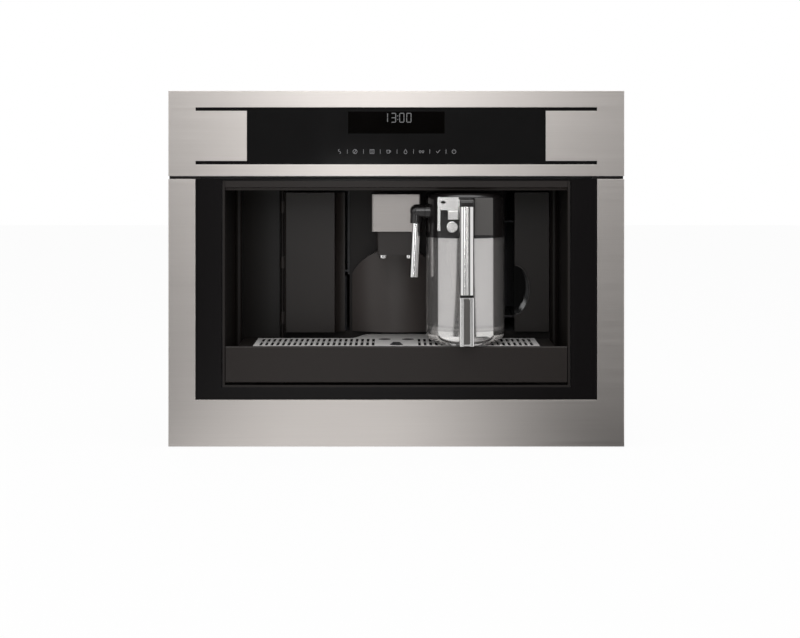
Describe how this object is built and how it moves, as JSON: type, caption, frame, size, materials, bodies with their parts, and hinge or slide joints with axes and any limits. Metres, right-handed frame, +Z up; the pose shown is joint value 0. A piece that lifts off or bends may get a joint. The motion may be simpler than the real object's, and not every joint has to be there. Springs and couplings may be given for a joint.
{
  "type": "built-in coffee machine",
  "caption": "Built-in bean-to-cup coffee machine: steel front, black cup cavity, height-adjustable spout, glass milk jug with chrome handle, slatted drip tray, on telescopic runners.",
  "frame": {"origin": "middle of the footprint on the niche floor: halfway across the front, halfway between the jug handle's front and the rear socket, at the underside of the base skids", "axes": "+Z up, +Y from the front into the kitchen unit, +X to the right seen from the front"},
  "size_m": [0.595, 0.4346, 0.466],
  "materials": {
    "brushed_steel": "horizontally brushed",
    "spout_steel": "brushed",
    "grille_steel": "bright",
    "chrome": "polished",
    "silver_plastic": "satin metallised",
    "black_glass": "polished glass-like panel",
    "gloss_black": "gloss",
    "dark_plastic": "satin",
    "jug_black": "gloss",
    "jug_glass": "clear",
    "milky_plastic": "satin",
    "tank_clear": "smoked clear",
    "hopper_clear": "smoked clear",
    "lamp_lens": "frosted",
    "inner_plastic": "moulded",
    "galvanised_sheet": "zinc-coated sheet",
    "runner_steel": "zinc-plated",
    "machined_steel": "machined",
    "motor_can": "coated",
    "boiler_alloy": "cast",
    "circuit_board": "solder resist",
    "switch_black": "moulded"
  },
  "bodies": {
    "cabinet_runners": {"cabinet_runners": "runner_steel"},
    "machine": {"front_frame": "brushed_steel", "control_fascia": "brushed_steel", "steam_nozzle": "chrome", "control_glass": "black_glass", "front_bezel": "gloss_black", "cavity_liner": "dark_plastic", "left_cover": "dark_plastic", "centre_column": "dark_plastic", "lintel_strip": "dark_plastic", "bean_hopper": "hopper_clear", "cup_lights": "lamp_lens", "front_carrier": "inner_plastic", "rear_bays": "inner_plastic", "grounds_container": "inner_plastic", "infuser_frame": "inner_plastic", "grinder_housing": "inner_plastic", "powder_funnel": "inner_plastic", "base_pan": "galvanised_sheet", "side_panels": "galvanised_sheet", "rear_panel": "galvanised_sheet", "top_cover": "galvanised_sheet", "deck": "galvanised_sheet", "upper_shelf": "galvanised_sheet", "inner_runners": "runner_steel", "brew_motor": "motor_can", "grinder_motor": "motor_can", "water_pump": "motor_can", "boiler": "boiler_alloy", "control_board": "circuit_board", "power_board": "circuit_board", "power_inlet": "switch_black"},
    "runner_stage": {"middle_runners": "runner_steel"},
    "service_door": {"service_door": "dark_plastic"},
    "coffee_spout": {"spout_cover": "spout_steel", "spout_body": "dark_plastic", "spout_nozzles": "chrome"},
    "drip_tray": {"drip_tray": "dark_plastic", "tray_front": "dark_plastic", "drip_grille": "grille_steel"},
    "level_float": {"level_float": "milky_plastic"},
    "milk_jug": {"jug_glass": "jug_glass", "jug_lid": "jug_black", "lid_escutcheon": "silver_plastic", "jug_handle": "chrome", "handle_bracket": "jug_black", "milk_intake_tube": "milky_plastic"},
    "froth_regulator": {"froth_regulator": "silver_plastic"},
    "clean_button": {"clean_button": "silver_plastic"},
    "milk_spout": {"milk_elbow": "jug_black", "milk_spout_tube": "chrome"},
    "water_tank": {"water_tank": "tank_clear", "tank_panel": "dark_plastic"},
    "brew_carriage": {"brew_carriage": "inner_plastic"},
    "brew_spindle": {"brew_spindle": "machined_steel"},
    "grinder_burr": {"lower_burr": "machined_steel"},
    "hopper_lid": {"hopper_lid": "inner_plastic"},
    "powder_flap": {"powder_flap": "inner_plastic"},
    "grind_knob": {"grind_knob": "inner_plastic"},
    "power_switch": {"power_switch": "switch_black"}
  },
  "joints": [
    {"name": "machine_slide", "type": "slide", "parent": "cabinet_runners", "child": "machine", "axis": [0, -1, 0], "range_m": [0, 0.34]},
    {"name": "stage_slide", "type": "slide", "parent": "cabinet_runners", "child": "runner_stage", "axis": [0, -1, 0], "range_m": [0, 0.17]},
    {"name": "service_door_hinge", "type": "hinge", "parent": "machine", "child": "service_door", "pos_m": [-0.1586, -0.01645, 0.23175], "axis": [0, 0, -1], "range_deg": [0, 110]},
    {"name": "spout_slide", "type": "slide", "parent": "machine", "child": "coffee_spout", "axis": [0, 0, -1], "range_m": [0, 0.055]},
    {"name": "tray_slide", "type": "slide", "parent": "machine", "child": "drip_tray", "axis": [0, -1, 0], "range_m": [0, 0.165]},
    {"name": "float_rise", "type": "slide", "parent": "drip_tray", "child": "level_float", "axis": [0, 0, 1], "range_m": [0, 0.006]},
    {"name": "jug_slide", "type": "slide", "parent": "machine", "child": "milk_jug", "axis": [0, -1, 0], "range_m": [0, 0.12]},
    {"name": "regulator_slide", "type": "slide", "parent": "milk_jug", "child": "froth_regulator", "axis": [-1, 0, 0], "range_m": [0, 0.009]},
    {"name": "clean_press", "type": "slide", "parent": "milk_jug", "child": "clean_button", "axis": [0, 1, 0], "range_m": [0, 0.002], "stiffness_N_per_m": 400, "springref_m": -0.001},
    {"name": "milk_spout_turn", "type": "hinge", "parent": "milk_jug", "child": "milk_spout", "pos_m": [0.0377, -0.14025, 0.308], "axis": [-1, 0, 0], "range_deg": [0, 90]},
    {"name": "tank_slide", "type": "slide", "parent": "machine", "child": "water_tank", "axis": [0, -1, 0], "range_m": [0, 0.37]},
    {"name": "spindle_turn", "type": "hinge", "parent": "machine", "child": "brew_spindle", "pos_m": [-0.111, 0.12175, 0.28], "axis": [0, 0, 1], "range_deg": [0, 720]},
    {"name": "carriage_lift", "type": "slide", "parent": "machine", "child": "brew_carriage", "axis": [0, 0, 1], "range_m": [0, 0.03]},
    {"name": "burr_spin", "type": "hinge", "parent": "machine", "child": "grinder_burr", "pos_m": [-0.015, 0.06575, 0.36], "axis": [0, 0, 1], "continuous": true},
    {"name": "hopper_lid_hinge", "type": "hinge", "parent": "machine", "child": "hopper_lid", "pos_m": [-0.015, 0.17935, 0.4475], "axis": [-1, 0, 0], "range_deg": [0, 100]},
    {"name": "powder_flap_hinge", "type": "hinge", "parent": "machine", "child": "powder_flap", "pos_m": [-0.123, 0.06535, 0.4475], "axis": [-1, 0, 0], "range_deg": [0, 100]},
    {"name": "grind_knob_turn", "type": "hinge", "parent": "machine", "child": "grind_knob", "pos_m": [0.096, 0.10475, 0.447], "axis": [0, 0, 1], "range_deg": [0, 240]},
    {"name": "rocker_tilt", "type": "hinge", "parent": "machine", "child": "power_switch", "pos_m": [-0.2, 0.21225, 0.094], "axis": [1, 0, 0], "range_deg": [0, 14]}
  ],
  "couplings": [
    {"joint": "stage_slide", "follows": "machine_slide", "ratio": 0.5},
    {"joint": "spindle_turn", "follows": "carriage_lift", "rad_per_m": 418.88}
  ]
}
